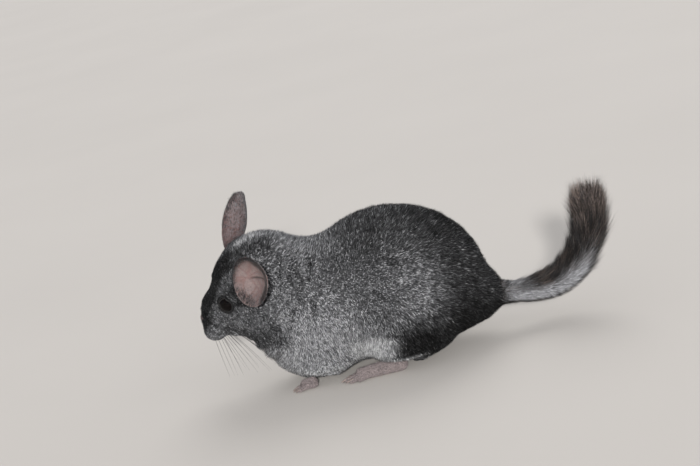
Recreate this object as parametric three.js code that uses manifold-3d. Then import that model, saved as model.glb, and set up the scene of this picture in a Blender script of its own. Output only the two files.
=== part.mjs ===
// A life-size grey chinchilla crouching on all fours with its head lowered, its ears out and its brush tail raised.
// The animal faces -X, its left side is towards -Y, and its soles stand on z = 0. Every length is in millimetres.
// The flesh is one soft blend of rounded forms, parted into nodes by thin cuts. The tail's long coat is set on it
// lock by lock.
import * as THREE from "three";
import { mergeVertices } from "three/addons/utils/BufferGeometryUtils.js";
import Module from "manifold-3d";

const wasm = await Module();
wasm.setup();

// Driving dimensions
const GAP = 0.3; // between touching nodes
const EYE_RADIUS = 7;
const EYE_PROUD = 3.8; // how far an eye stands out of the face
const EAR_LENGTH = 52;
const EAR_WIDTH = 38;
const EAR_DEPTH = 9;
const EAR_THICKNESS = 1.5;
const HIND_FOOT_LENGTH = 50;
const FORE_PAW_LENGTH = 19;
const HIND_STANCE = 36; // from the midline to the middle of a hind sole
const FORE_STANCE = 27;
const WRIST = -28;
const TAIL_RADIUS = 9.8; // with its short coat, near the root
const BRUSH_RADIUS = 16; // to the tips of the hair, where the brush is fullest

// The head turns about this point: its nose points down and a little to the animal's right, and its crown leans
// to the left.
const HEAD_AT = [-73.5, 0, 88];
const HEAD_PITCH = THREE.MathUtils.degToRad(23);
const HEAD_ROLL = THREE.MathUtils.degToRad(26);
const HEAD_YAW = THREE.MathUtils.degToRad(-8);

const vec = (x, y, z) => new THREE.Vector3(x, y, z);
const LEFT = 1; // in the head's axes; the animal's left is towards -Y in its own
const RIGHT = -1;

// Head axes: x runs to the nose, y to the animal's left and z to the crown.
const headTurn = new THREE.Matrix4()
  .makeTranslation(...HEAD_AT)
  .multiply(new THREE.Matrix4().makeRotationZ(HEAD_YAW))
  .multiply(new THREE.Matrix4().makeRotationY(-HEAD_PITCH))
  .multiply(new THREE.Matrix4().makeRotationZ(Math.PI))
  .multiply(new THREE.Matrix4().makeRotationX(-HEAD_ROLL));
const inHead = (x, y, z) => vec(x, y, z).applyMatrix4(headTurn);
const headWay = (x, y, z) => vec(x, y, z).transformDirection(headTurn);

// An ellipsoid's distance, near enough for blending. turn, in degrees, takes the frame to the form's own axes.
function ellipsoid(at, radii, { turn = [0, 0, 0], frame = new THREE.Matrix4() } = {}) {
  const inward = frame.clone().multiply(placed(at, turn)).invert();
  const q = vec(0, 0, 0);
  const [a, b, c] = radii;
  return (p) => {
    q.copy(p).applyMatrix4(inward);
    const near = Math.hypot(q.x / a, q.y / b, q.z / c);
    const slope = Math.hypot(q.x / (a * a), q.y / (b * b), q.z / (c * c));
    return slope < 1e-9 ? -Math.min(a, b, c) : (near * (near - 1)) / slope;
  };
}

function placed(at, turn = [0, 0, 0], scale = [1, 1, 1]) {
  const euler = new THREE.Euler(...turn.map(THREE.MathUtils.degToRad));
  return new THREE.Matrix4().compose(vec(...at), new THREE.Quaternion().setFromEuler(euler), vec(...scale));
}

// The nearer of two distances, with a fillet about as wide as softness where they meet.
function soften(a, b, softness) {
  const h = Math.max(softness - Math.abs(a - b), 0) / softness;
  return Math.min(a, b) - (h * h * softness) / 4;
}

const blend = (forms, softness) => (p) => forms.map((f) => f(p)).reduce((a, b) => soften(a, b, softness));

// Torso, thighs and neck, in the animal's frame
const trunkForms = blend(
  [
    ellipsoid([57, 0, 64.5], [73, 54, 61], { turn: [0, 16, 0] }), // haunches and back
    ellipsoid([14, 0, 58], [52, 49, 50]), // belly and flanks
    ellipsoid([-22, 0, 62], [42, 42, 53], { turn: [0, 14, 0] }), // shoulders and chest
    ellipsoid([-44, 0, 82], [30, 34, 44], { turn: [0, 22, 0] }), // neck
    ellipsoid([-48, 3, 103], [24, 26, 26]), // nape
    ellipsoid([-27, 0, 33], [26, 27, 26]), // breast
    ellipsoid([-14, -19, 22], [20, 16, 19]), // left elbow
    ellipsoid([-14, 19, 22], [20, 16, 19]), // right elbow
    ellipsoid([58, -36, 42], [40, 24, 34], { turn: [0, 18, 0] }), // left thigh
    ellipsoid([58, 36, 42], [40, 24, 34], { turn: [0, 18, 0] }), // right thigh
    ellipsoid([46, -HIND_STANCE, 19], [16, 12, 15]), // left hock
    ellipsoid([46, HIND_STANCE, 19], [16, 12, 15]), // right hock
    ellipsoid([114, 0, 35], [28, 26, 21]), // tail root
  ],
  16,
);

// Skull, muzzle and cheeks, in the head's frame
const headForm = (at, radii) => ellipsoid(at, radii, { frame: headTurn });
const bothSides = ([x, y, z], radii) => [LEFT, RIGHT].map((side) => headForm([x, side * y, z], radii));
const headForms = blend(
  [
    headForm([-13, 0, 3], [26, 26, 25]), // cranium
    headForm([13, 0, -4], [19, 16, 15]), // face
    headForm([26, 0, -8], [9, 9, 9]), // nose
    ...bothSides([32.5, 7, -17.5], [10.5, 8.5, 10.5]), // whisker pads
    ...bothSides([-2, 16, -10], [20, 13, 16]), // cheeks
    ...bothSides([3, 11, 6.5], [9, 6.5, 5]), // brows
    ...bothSides([-17, 20, 10], [13, 10, 11]), // ear roots
    headForm([17, 0, -31], [13, 11.5, 9.5]), // chin
  ],
  7,
);

const flesh = (p) => soften(trunkForms(p), headForms(p), 12);

// The point where a ray from centre first leaves the field's level, or the point at reach.
function surfacePoint(field, centre, heading, reach, level = 0) {
  const at = vec(0, 0, 0);
  const outside = (t) => field(at.copy(centre).addScaledVector(heading, t)) > level;
  const step = 3;
  let far = step;
  while (far < reach && !outside(far)) far += step;
  let near = far - step;
  if (far >= reach) near = far = reach;
  while (far - near > 1e-4) {
    const middle = (near + far) / 2;
    if (outside(middle)) far = middle;
    else near = middle;
  }
  return at.copy(centre).addScaledVector(heading, near);
}

// Moves each vertex of a ball out along its own ray to where the field reaches level, or to reach.
function wrap(field, centre, reach, detail, level = 0) {
  return solidOf(
    moved(new THREE.IcosahedronGeometry(1, detail), (v) => {
      v.copy(surfacePoint(field, centre, v.normalize(), reach, level));
    }),
  );
}

// A geometry with each vertex passed through a function, its shared vertices merged first
function moved(geometry, change) {
  geometry.deleteAttribute("normal");
  geometry.deleteAttribute("uv");
  const merged = mergeVertices(geometry, 1e-5);
  const places = merged.getAttribute("position");
  const v = vec(0, 0, 0);
  for (let i = 0; i < places.count; i++) {
    change(v.fromBufferAttribute(places, i));
    places.setXYZ(i, v.x, v.y, v.z);
  }
  return merged;
}

// A geometry as a closed solid, and a solid as a geometry
function solidOf(geometry, matrix = new THREE.Matrix4()) {
  const bare = geometry.clone().applyMatrix4(matrix);
  bare.deleteAttribute("normal");
  bare.deleteAttribute("uv");
  const merged = mergeVertices(bare, 1e-4);
  return new wasm.Manifold(
    new wasm.Mesh({
      numProp: 3,
      vertProperties: new Float32Array(merged.getAttribute("position").array),
      triVerts: new Uint32Array(merged.index.array),
    }),
  );
}

function geometryOf(solid) {
  const mesh = solid.getMesh();
  const geometry = new THREE.BufferGeometry();
  geometry.setAttribute("position", new THREE.BufferAttribute(new Float32Array(mesh.vertProperties), 3));
  geometry.setIndex(new THREE.BufferAttribute(new Uint32Array(mesh.triVerts), 1));
  geometry.computeVertexNormals();
  return geometry;
}

const largest = (solid) => solid.decompose().reduce((a, b) => (a.volume() > b.volume() ? a : b));
const joined = (solids) => solids.reduce((a, b) => a.add(b));

// A flat cut: point and facing. ahead keeps the side that the facing points to, half a gap off the plane.
function ahead(solid, cut) {
  const n = vec(...cut.facing).normalize();
  return solid.trimByPlane(n.toArray(), n.dot(vec(...cut.point)) + GAP / 2);
}
function behind(solid, cut) {
  const n = vec(...cut.facing).normalize().negate();
  return solid.trimByPlane(n.toArray(), n.dot(vec(...cut.point)) + GAP / 2);
}
const FLOOR = { point: [0, 0, -GAP / 2], facing: [0, 0, 1] };

// A limb or toe: a ball whose two halves are drawn apart, each to its own end and radius.
function limb(from, to, startRadius, endRadius, [across, up] = [10, 8]) {
  const a = vec(...from);
  const b = vec(...to);
  const along = b.clone().sub(a).normalize();
  const turn = new THREE.Quaternion().setFromUnitVectors(vec(0, 1, 0), along);
  return solidOf(
    moved(new THREE.SphereGeometry(1, across, up), (v) => {
      const end = v.y > 1e-6;
      v.applyQuaternion(turn)
        .multiplyScalar(end ? endRadius : startRadius)
        .add(end ? b : a);
    }),
  );
}

// A tapered solid along a curve. section gives half width and half thickness at t; facing is the thin way.
function sweep(curve, facing, section, { sides, steps, pointed = false }) {
  const form = new THREE.CylinderGeometry(pointed ? 0 : 1, 1, 1, sides, steps);
  const way = vec(0, 0, 0);
  const across = vec(0, 0, 0);
  const thin = vec(0, 0, 0);
  return solidOf(
    moved(form, (v) => {
      const t = THREE.MathUtils.clamp(v.y + 0.5, 0, 1);
      const round = pointed ? Math.max(1 - t, 1e-6) : 1;
      const [halfWidth, halfThickness] = section(t);
      curve.getTangent(t, way);
      across.crossVectors(facing, way).normalize();
      thin.crossVectors(across, way).normalize();
      const [u, w] = [(v.x / round) * halfWidth, (v.z / round) * halfThickness];
      curve.getPoint(t, v);
      if (!pointed || t < 1) v.addScaledVector(across, u).addScaledVector(thin, w);
    }),
  );
}

// Trunk, parted from the neck, the haunches and the tail
const headCut = { point: [-54, 0, 88], facing: [-0.925, 0, 0.379] };
const neckCut = { point: [-33, 0, 80], facing: [-0.9, 0, 0.436] };
const tailCut = { point: [137, 0, 32], facing: [-1, 0, 0.12] };
const HEAD_CENTRE = vec(...HEAD_AT);
const TRUNK_CENTRE = vec(42, 0, 64);
const wholeTrunk = behind(wrap(flesh, TRUNK_CENTRE, 106, 10), neckCut);
const trunk = ahead(wholeTrunk, tailCut);
const trunkRoom = wrap(flesh, TRUNK_CENTRE, 106, 10, GAP);

// A haunch is the part of the trunk inside a wide limb round the thigh and hock.
const haunchRoom = (side, margin) =>
  limb([60, side * 50, 44], [34, side * 43, 12], 33 + margin, 22 + margin, [20, 12]);
const shoulderRoom = (side, margin) =>
  limb([-10, side * 31, 34], [-20, side * 25, 12], 19 + margin, 13 + margin, [16, 10]);
const palm = (side, margin = 0) =>
  limb([WRIST - 2, side * FORE_STANCE, 4.4], [WRIST - 7, side * FORE_STANCE, 4], 5 + margin, 4.6 + margin, [8, 5]);
const limbRooms = [-1, 1].flatMap((side) => [haunchRoom(side, GAP), shoulderRoom(side, GAP), palm(side, 2 * GAP)]);
const torso = limbRooms.reduce((left, room) => left.subtract(room), trunk);

// A leg is the part of the trunk inside its room, joined to the shank that comes down out of it.
const leg = (room, shank) => trunk.intersect(room).add(shank.subtract(trunkRoom.subtract(room)));

const neck = ahead(behind(wrap(flesh, vec(-46, 0, 80), 78, 8), headCut), neckCut);
const skull = ahead(wrap(flesh, HEAD_CENTRE, 62, 11), headCut);
const skullRoom = wrap(flesh, HEAD_CENTRE, 62, 11, GAP);

// Eyes in their sockets, with lids
const EYE_LEVEL = inHead(1, 0, 3);
const eyeWay = (side) => headWay(0.22, side * 0.95, 0.14);
const eyeCentre = (side) =>
  surfacePoint(flesh, EYE_LEVEL, eyeWay(side), 40).addScaledVector(eyeWay(side), EYE_PROUD - EYE_RADIUS);
const eyeBall = (side, margin = 0) =>
  solidOf(new THREE.SphereGeometry(EYE_RADIUS + margin, 14, 10).translate(...eyeCentre(side).toArray()));

function lids(side) {
  const turn = new THREE.Matrix4().lookAt(vec(0, 0, 0), eyeWay(side).negate(), headWay(0, 0, 1));
  const showing = Math.sqrt(EYE_RADIUS ** 2 - (EYE_RADIUS - EYE_PROUD) ** 2);
  const rim = new THREE.TorusGeometry(showing, 1.1, 6, 16).scale(1.1, 0.86, 1);
  const at = eyeCentre(side).addScaledVector(eyeWay(side), EYE_RADIUS - EYE_PROUD);
  return solidOf(rim, new THREE.Matrix4().makeTranslation(at).multiply(turn));
}

// Nose, nostrils, lips and the line of the mouth
const MUZZLE_CENTRE = inHead(22, 0, -10);
const onMuzzle = (x, y, z) => surfacePoint(flesh, MUZZLE_CENTRE, headWay(x, y, z), 30);
const groove = (points, radius) =>
  sweep(new THREE.CatmullRomCurve3(points), headWay(0, 0, 1), () => [radius, radius], { sides: 6, steps: 8 });
const nosePad = solidOf(
  new THREE.SphereGeometry(1, 10, 7).scale(1.8, 3.4, 2.4),
  new THREE.Matrix4().makeTranslation(onMuzzle(0.95, 0, 0.25)).multiply(headTurn.clone().setPosition(0, 0, 0)),
);
const nostril = (side) =>
  limb(
    onMuzzle(1, side * 0.16, 0.22).toArray(),
    onMuzzle(1, side * 0.3, 0.34).addScaledVector(headWay(0.9, side * 0.4, 0), 1.6).toArray(),
    0.7,
    1.1,
    [6, 4],
  );
const lipSeam = groove([onMuzzle(1, 0, 0.05), onMuzzle(1, 0, -0.35), onMuzzle(0.8, 0, -0.8)], 0.7);
const mouthLine = groove(
  [-0.75, -0.4, 0, 0.4, 0.75].map((y) => onMuzzle(0.7 - 0.5 * Math.abs(y), y, -0.95)),
  0.7,
);
const lowerLip = solidOf(
  new THREE.SphereGeometry(1, 10, 7).scale(3, 4.6, 2.6),
  new THREE.Matrix4().makeTranslation(onMuzzle(0.45, 0, -1)).multiply(headTurn.clone().setPosition(0, 0, 0)),
);

const faceForms = [nosePad, lowerLip, lids(LEFT), lids(RIGHT)];
const faceCuts = [eyeBall(LEFT, GAP), eyeBall(RIGHT, GAP), nostril(LEFT), nostril(RIGHT), lipSeam, mouthLine];
const head = faceCuts.reduce((whole, cut) => whole.subtract(cut), joined([skull, ...faceForms]));

// Ears: an oval dish with a rolled rear edge, cupped deepest near its root
const EAR_ROOT = [-9.5, 34.5, 9];
const EAR_TIP = [-44, 46.5, 41];
const EAR_OPENS = [0.9, 0.43, 0];
function ear(side) {
  const root = inHead(EAR_ROOT[0], side * EAR_ROOT[1], EAR_ROOT[2]);
  const up = inHead(EAR_TIP[0], side * EAR_TIP[1], EAR_TIP[2]).sub(root).normalize();
  const opens = headWay(EAR_OPENS[0], side * EAR_OPENS[1], EAR_OPENS[2]);
  const rear = vec(0, 0, 0).crossVectors(up, opens).multiplyScalar(side).normalize();
  opens.crossVectors(up, rear).multiplyScalar(-side).normalize();
  const wall = EAR_THICKNESS / 2;
  const dish = [0, 0.35, 0.65, 0.88, 1];
  const profile = [
    ...dish.map((r) => new THREE.Vector2(r, -1)),
    ...dish.toReversed().map((r) => new THREE.Vector2(r * (r === 1 ? 0.97 : 1), 1)),
  ];
  const shape = moved(new THREE.LatheGeometry(profile, 20), (v) => {
    const far = Math.hypot(v.x, v.z);
    const along = v.z * 0.5 + 0.5; // 0 at the root and 1 at the tip
    const width = (EAR_WIDTH / 2) * v.x * (0.78 + 0.34 * along);
    const depth = EAR_DEPTH * (1 - far * far) * (1.35 - 0.6 * along);
    const roll = 5 * Math.max(v.x, 0) ** 3;
    const lift = v.y * wall * (1 - 0.45 * far) - depth + roll;
    v.copy(root)
      .addScaledVector(up, EAR_LENGTH * along)
      .addScaledVector(rear, width)
      .addScaledVector(opens, lift);
  });
  const solid = solidOf(shape);
  return solid.volume() < 0 ? solidOf(flipped(shape)) : solid;
}

function flipped(geometry) {
  const order = geometry.index.array;
  for (let i = 0; i < order.length; i += 3) [order[i], order[i + 1]] = [order[i + 1], order[i]];
  return geometry;
}

// Limbs. side is -1 for the animal's left, towards -Y, and 1 for its right.
function hindFoot(side) {
  const y = side * HIND_STANCE;
  const heel = 42;
  const ballOfFoot = heel - HIND_FOOT_LENGTH * 0.62;
  const sole = limb([heel, y, 5.5], [ballOfFoot, y, 4.6], 6.2, 5.6, [10, 6]);
  const toes = [-1, 0, 1].map((n) => {
    const spread = y + n * 4.2;
    const reach = heel - HIND_FOOT_LENGTH + 6 + Math.abs(n) * 3.5;
    const toe = limb([ballOfFoot, y + n * 3.2, 4.4], [reach, spread, 2], 3.1, 2.3, [6, 4]);
    const claw = limb([reach, spread, 3.2], [reach - 3.6, spread, 1.6], 1.5, 0.5, [4, 3]);
    return toe.add(claw);
  });
  const spur = limb([ballOfFoot + 4, y + side * 4, 4], [ballOfFoot - 3, y + side * 6.6, 2.4], 2.4, 1.7, [6, 4]);
  return joined([sole, ...toes, spur]);
}

function forePaw(side) {
  const y = side * FORE_STANCE;
  const fingers = [-1.5, -0.5, 0.5, 1.5].map((n) => {
    const spread = y + n * 3;
    const reach = WRIST - FORE_PAW_LENGTH + 3 + Math.abs(n) * 1.8;
    const finger = limb([WRIST - 7, y + n * 2.2, 3.6], [reach, spread, 1.3], 2.1, 1.5, [5, 3]);
    const claw = limb([reach, spread, 2.3], [reach - 2, spread, 1.1], 1, 0.4, [4, 3]);
    return finger.add(claw);
  });
  const thumb = limb([WRIST - 4, y - side * 3.4, 3.4], [WRIST - 8, y - side * 6, 2.2], 1.9, 1.4, [6, 4]);
  return joined([palm(side), ...fingers, thumb]);
}

const hockCut = { point: [0, 0, 11], facing: [0, 0, 1] };
const wristCut = { point: [0, 0, 10.5], facing: [0, 0, 1] };
const hindShank = (side) =>
  limb([34, side * HIND_STANCE, 20], [41, side * HIND_STANCE, 6], 11, 6.6, [12, 8]);
const forearm = (side) => limb([-17, side * 27, 22], [WRIST, side * FORE_STANCE, 5], 11, 5.4, [12, 8]);

const hindLeg = (side) => ahead(leg(haunchRoom(side, 0), hindShank(side)), hockCut);
const foreLeg = (side) => ahead(leg(shoulderRoom(side, 0), forearm(side)), wristCut);
const sole = (solid, cut) => behind(ahead(solid, FLOOR), cut);

// Tail: it leaves the rump level and bends up. Its coat is short near the root and fullest in the brush.
const tailPath = new THREE.CatmullRomCurve3(
  [
    [132, 33],
    [146, 29.5],
    [161, 27.5],
    [176, 28],
    [190, 32],
    [203, 42],
    [212.5, 55],
    [218.5, 72],
    [220.5, 88],
    [221.5, 103],
  ].map(([x, z]) => vec(x, 0, z)),
);
const FULLEST = 0.62;
function coatRadius(t) {
  const root = 3.5 * Math.max(0, 1 - t / 0.12) ** 2;
  const spread = t < FULLEST ? 0.75 : 0.95;
  const full = BRUSH_RADIUS * (1 - ((t - FULLEST) / spread) ** 2);
  return root + (t < FULLEST ? Math.max(TAIL_RADIUS, full) : full);
}
const tailCutAt = (t) => ({ point: tailPath.getPoint(t).toArray(), facing: tailPath.getTangent(t).toArray() });
const MARGIN = 0.03; // a length of tail is swept this share longer than it is, and then cut
function tailLength(start, end, radius, steps) {
  const share = (t) => THREE.MathUtils.lerp(start, end, t);
  const length = {
    getPoint: (t, v) => tailPath.getPoint(share(t), v),
    getTangent: (t, v) => tailPath.getTangent(share(t), v),
  };
  const section = (t) => [radius(share(t)), radius(share(t))];
  return sweep(length, vec(0, 1, 0), section, { sides: 12, steps });
}
const ROOT_END = 0.2;
const MIDDLE_END = 0.33;
const tailRoot = behind(behind(tailLength(0, ROOT_END + MARGIN, coatRadius, 5), tailCut), tailCutAt(ROOT_END));
const tailMiddle = behind(
  ahead(tailLength(ROOT_END - MARGIN, MIDDLE_END + MARGIN, coatRadius, 5), tailCutAt(ROOT_END)),
  tailCutAt(MIDDLE_END),
);

// The brush: a dense core, and long flat locks rooted in it that lie back along the tail out to the coat's tips
const CORE_SHARE = 0.45; // of the coat's radius
const CORE_END = 0.84;
const LOCK_ROWS = 6;
const LOCKS_A_ROW = 7;
const FIRST_ROOT = MIDDLE_END - 0.02;
const COLLAR = 0.07; // the core starts as wide as the coat that it meets, and narrows over this length
const LAST_ROOT = 0.76;
const LOCK_LENGTH = 0.27; // as a share of the tail's
const LOCK_WIDTH = 8;
const LOCK_THICKNESS = 2;
const { lerp, seededRandom, smoothstep } = THREE.MathUtils;
const between = (low, high) => lerp(low, high, seededRandom());
function coreRadius(t) {
  const share = lerp(0.9, CORE_SHARE, smoothstep(t, MIDDLE_END, MIDDLE_END + COLLAR));
  return share * coatRadius(t) * (1 - 0.6 * smoothstep(t, 0.6, CORE_END));
}

function inBrush(t, turn, radius) {
  const way = tailPath.getTangent(t);
  const side = vec(0, Math.cos(turn), 0);
  const above = vec(0, 0, 0).crossVectors(way, vec(0, 1, 0)).multiplyScalar(Math.sin(turn));
  return tailPath.getPoint(t).addScaledVector(side.add(above), radius);
}

// A lock rises out of the core, steeply or not, and bends back to lie along the coat.
function lock(start, turn, reach, steepness) {
  const end = Math.min(start + LOCK_LENGTH * between(0.8, 1.15), between(0.95, 1));
  const drift = between(-0.3, 0.3);
  const rises = [0, steepness, 0.92, 1];
  const points = rises.map((rise, i) => {
    const share = i / (rises.length - 1);
    const radius = lerp(0.6 * coreRadius(start), reach * coatRadius(end), rise);
    return inBrush(lerp(start, end, share), turn + drift * share, radius);
  });
  const middle = (start + end) / 2;
  const facing = inBrush(middle, turn, 1).sub(inBrush(middle, turn, 0));
  const section = (t) => [(LOCK_WIDTH / 2) * (1 - 0.7 * t * t), (LOCK_THICKNESS / 2) * (1 - 0.5 * t)];
  return sweep(new THREE.CatmullRomCurve3(points), facing, section, { sides: 4, steps: 3, pointed: true });
}

function brushLocks() {
  seededRandom(5);
  const locks = [];
  for (let row = 0; row < LOCK_ROWS; row++) {
    const start = lerp(FIRST_ROOT, LAST_ROOT, row / (LOCK_ROWS - 1));
    for (let n = 0; n < LOCKS_A_ROW; n++) {
      const turn = (2 * Math.PI * (n + (row % 2) / 2 + between(-0.15, 0.15))) / LOCKS_A_ROW;
      locks.push(lock(start + (row ? between(-0.015, 0.015) : 0), turn, between(0.85, 1), row ? 0.6 : 0.75));
    }
  }
  for (let n = 0; n < 4; n++) locks.push(lock(LAST_ROOT, n * 2.4, 0.2 + 0.1 * n, 0.6));
  return locks;
}

const brushCore = tailLength(MIDDLE_END - MARGIN, CORE_END, coreRadius, 8);
const tailBrush = ahead(joined([brushCore, ...brushLocks()]), tailCutAt(MIDDLE_END)).simplify(0.08);

const PALETTE = {
  coat: { color: 0x55565a, roughness: 0.95 },
  ear: { color: 0x8a7472, roughness: 0.7 },
  eye: { color: 0x080607, roughness: 0.08 },
  foot: { color: 0xa79b98, roughness: 0.85 },
};

const animal = new THREE.Group();
function show(name, solid, finish) {
  const mesh = new THREE.Mesh(geometryOf(largest(solid)), new THREE.MeshStandardMaterial(PALETTE[finish]));
  mesh.name = name;
  animal.add(mesh);
}
show("torso", torso, "coat");
show("neck", neck, "coat");
show("head", head, "coat");
show("tail_root", tailRoot, "coat");
show("tail_middle", tailMiddle, "coat");
show("tail_brush", tailBrush, "coat");
for (const [word, side] of [
  ["left", -1],
  ["right", 1],
]) {
  show(`eye_${word}`, eyeBall(-side), "eye");
  show(`ear_${word}`, ear(-side).subtract(skullRoom), "ear");
  show(`hind_leg_${word}`, hindLeg(side), "coat");
  show(`hind_foot_${word}`, sole(hindFoot(side), hockCut), "foot");
  show(`fore_leg_${word}`, foreLeg(side), "coat");
  show(`fore_paw_${word}`, sole(forePaw(side), wristCut), "foot");
}

// The origin is under the middle of the animal's box, on the floor.
const box = new THREE.Box3().setFromObject(animal, true);
const middle = box.getCenter(vec(0, 0, 0));
animal.position.set(-middle.x, -middle.y, -box.min.z);

export default animal;
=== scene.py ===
"""A life-size grey chinchilla, crouching with its head lowered and its brush tail raised.

Lengths are in millimetres of the animal's own frame until place() or MM turns them to metres.
"""

import math

import bmesh
import bpy
import numpy as np
from mathutils import Matrix, Vector
from mathutils.bvhtree import BVHTree


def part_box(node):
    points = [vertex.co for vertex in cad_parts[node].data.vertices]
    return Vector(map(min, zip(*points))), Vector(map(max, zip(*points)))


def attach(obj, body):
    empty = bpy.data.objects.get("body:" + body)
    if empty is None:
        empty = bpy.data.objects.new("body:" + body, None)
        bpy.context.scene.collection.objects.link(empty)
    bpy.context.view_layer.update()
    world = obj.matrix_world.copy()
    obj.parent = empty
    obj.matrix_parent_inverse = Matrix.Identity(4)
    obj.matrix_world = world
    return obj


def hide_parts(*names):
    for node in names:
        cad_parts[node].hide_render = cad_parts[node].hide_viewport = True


bl_info = {
    "name": "Chinchilla Coat and Skin",
    "version": (1, 0, 0),
    "blender": (4, 5, 0),
    "location": "3D View > Sidebar > Chinchilla",
    "description": "Builds the skin, coat, eyes, ears, feet and whiskers of a life-size chinchilla",
    "category": "Object",
}

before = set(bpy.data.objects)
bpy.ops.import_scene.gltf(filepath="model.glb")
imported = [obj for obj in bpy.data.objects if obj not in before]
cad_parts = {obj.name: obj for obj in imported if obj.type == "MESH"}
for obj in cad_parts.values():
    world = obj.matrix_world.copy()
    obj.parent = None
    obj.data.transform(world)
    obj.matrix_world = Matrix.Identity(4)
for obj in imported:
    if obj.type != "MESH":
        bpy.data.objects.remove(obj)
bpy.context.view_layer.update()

MM = 0.001
SEED = 11
LEFT, RIGHT = 1, -1
SIDES = {"left": LEFT, "right": RIGHT}
FORWARD, SIDEWAYS = Vector((1, 0, 0)), Vector((0, 1, 0))

# Sizes in millimetres: the swell closes the cuts between the solids, and the lids' are half their opening
SWELL, COAT_DEPTH, FACE_DEPTH_LESS = 0.45, 4.5, 3.4
BODY_TUFT, FACE_TUFT = (5.0, 0.8), (2.1, 0.6)  # length and width
LID_LONG, LID_TALL, LID_PINCH = 6.7, 5.7, 1.2
EAR_VOXEL, FOOT_VOXEL = 0.36, 0.4
EAR_HAIRS, HIND_FOOT_HAIRS, FORE_PAW_HAIRS, TAIL_LOCKS = 16000, 6500, 3000, 400

# Head axes in the animal's frame, as the solids have them: x to the nose, y to its left, z to the crown
HEAD_AT = Vector((-73.5, 0, 88))
HEAD_PITCH = math.radians(23)
HEAD_ROLL = math.radians(26)
HEAD_YAW = math.radians(-8)
HEAD_TURN = (
    Matrix.Rotation(HEAD_YAW, 3, "Z")
    @ Matrix.Rotation(-HEAD_PITCH, 3, "Y")
    @ Matrix.Rotation(math.pi, 3, "Z")
    @ Matrix.Rotation(-HEAD_ROLL, 3, "X")
)
EYE_LEVEL = Vector((1, 0, 3))
EYE_WAY = Vector((0.22, 0.95, 0.14)).normalized()
LIDS_WAY = Vector((0.04, 0.87, 0.45)).normalized()


def middle_of(node):
    low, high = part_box(node)
    return (low + high) / 2


# The animal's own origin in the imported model, worked out from its two eyes
EYES = {LEFT: middle_of("eye_left"), RIGHT: middle_of("eye_right")}
EYE_RADIUS = (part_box("eye_left")[1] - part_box("eye_left")[0]).z / 2
_reach = (EYES[LEFT] - EYES[RIGHT]).length / MM / 2 / EYE_WAY.y
_eyes_in_head = EYE_LEVEL + Vector((EYE_WAY.x * _reach, 0, EYE_WAY.z * _reach))
HEAD_ORIGIN = (EYES[LEFT] + EYES[RIGHT]) / 2 - HEAD_TURN @ _eyes_in_head * MM
ORIGIN = HEAD_ORIGIN - HEAD_AT * MM

EAR_ROOT, EAR_TIP, EAR_OPENS = (-9.5, 34.5, 9), (-44, 46.5, 41), (0.9, 0.43, 0)
EAR_LENGTH, EAR_WIDTH = 52, 38
HIND_STANCE, FORE_STANCE = 36, 27
HEEL, HIND_FOOT_LENGTH = 42, 50
WRIST, FORE_PAW_LENGTH = -28, 19
TAIL_POINTS = [
    (132, 33), (146, 29.5), (161, 27.5), (176, 28), (190, 32),
    (203, 42), (212.5, 55), (218.5, 72), (220.5, 88), (221.5, 103),
]


def place(x, y, z):
    """A point of the animal's own frame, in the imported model's metres."""
    return ORIGIN + Vector((x, y, z)) * MM


def in_head(x, y, z):
    return HEAD_ORIGIN + HEAD_TURN @ Vector((x, y, z)) * MM


def head_way(x, y, z):
    return (HEAD_TURN @ Vector((x, y, z))).normalized()


def to_head(points):
    """Points in metres as millimetres along the head's axes."""
    return (points - np.array(HEAD_ORIGIN)) @ np.array(HEAD_TURN) / MM


def to_animal(points):
    return (points - np.array(ORIGIN)) / MM


def unit(vectors):
    return vectors / (np.linalg.norm(vectors, axis=-1, keepdims=True) + 1e-12)


def ramp(low, high, values):
    """0 below low, 1 above high, and smooth between them; low may be the larger."""
    t = np.clip((np.asarray(values) - low) / (high - low), 0, 1)
    return t * t * (3 - 2 * t)


def blend(first, second, share):
    """From the first at a share of 0 to the second at 1."""
    return first * (1 - share) + second * share


def waves(points, size, seed, octaves=3):
    """Smooth noise from -1 to 1, its crests about size millimetres apart."""
    rng = np.random.default_rng(seed)
    total = np.zeros(len(points))
    weight = 0.0
    for octave in range(octaves):
        ways = unit(rng.normal(size=(5, 3))) * (2**octave) * 2 * math.pi / size
        starts = rng.uniform(0, 2 * math.pi, 5)
        total += np.sin(points @ ways.T + starts).sum(1) / 5 / (1.6**octave)
        weight += 1 / (1.6**octave)
    return total / weight * 1.8


def to_piece(name, mesh, finish, slot, *replaced):
    """Links a finished mesh as a piece that rides on the animal."""
    piece = bpy.data.objects.new(name, mesh)
    bpy.context.scene.collection.objects.link(piece)
    mesh.materials.clear()
    mesh.materials.append(finish)
    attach(piece, "root")
    if replaced:
        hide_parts(*replaced)
    return piece


def baked(obj):
    """The mesh of an object with its modifiers applied, and the object removed."""
    graph = bpy.context.evaluated_depsgraph_get()
    mesh = bpy.data.meshes.new_from_object(obj.evaluated_get(graph))
    bpy.data.objects.remove(obj)
    return mesh


def linked(name, data):
    obj = bpy.data.objects.new(name, data)
    bpy.context.scene.collection.objects.link(obj)
    return obj


def tube(name, points, radii, closed=False, sides=4):
    """A mesh tube along points in metres, with a radius in millimetres at each."""
    curve = bpy.data.curves.new(name, "CURVE")
    curve.dimensions = "3D"
    curve.bevel_depth = MM
    curve.bevel_resolution = sides
    curve.use_fill_caps = True
    spline = curve.splines.new("NURBS")
    spline.points.add(len(points) - 1)
    for point, where, radius in zip(spline.points, points, radii):
        point.co = (*where, 1)
        point.radius = radius
    spline.order_u = 3
    spline.use_endpoint_u = not closed
    spline.use_cyclic_u = closed
    spline.resolution_u = 6
    return baked(linked(name, curve))


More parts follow.
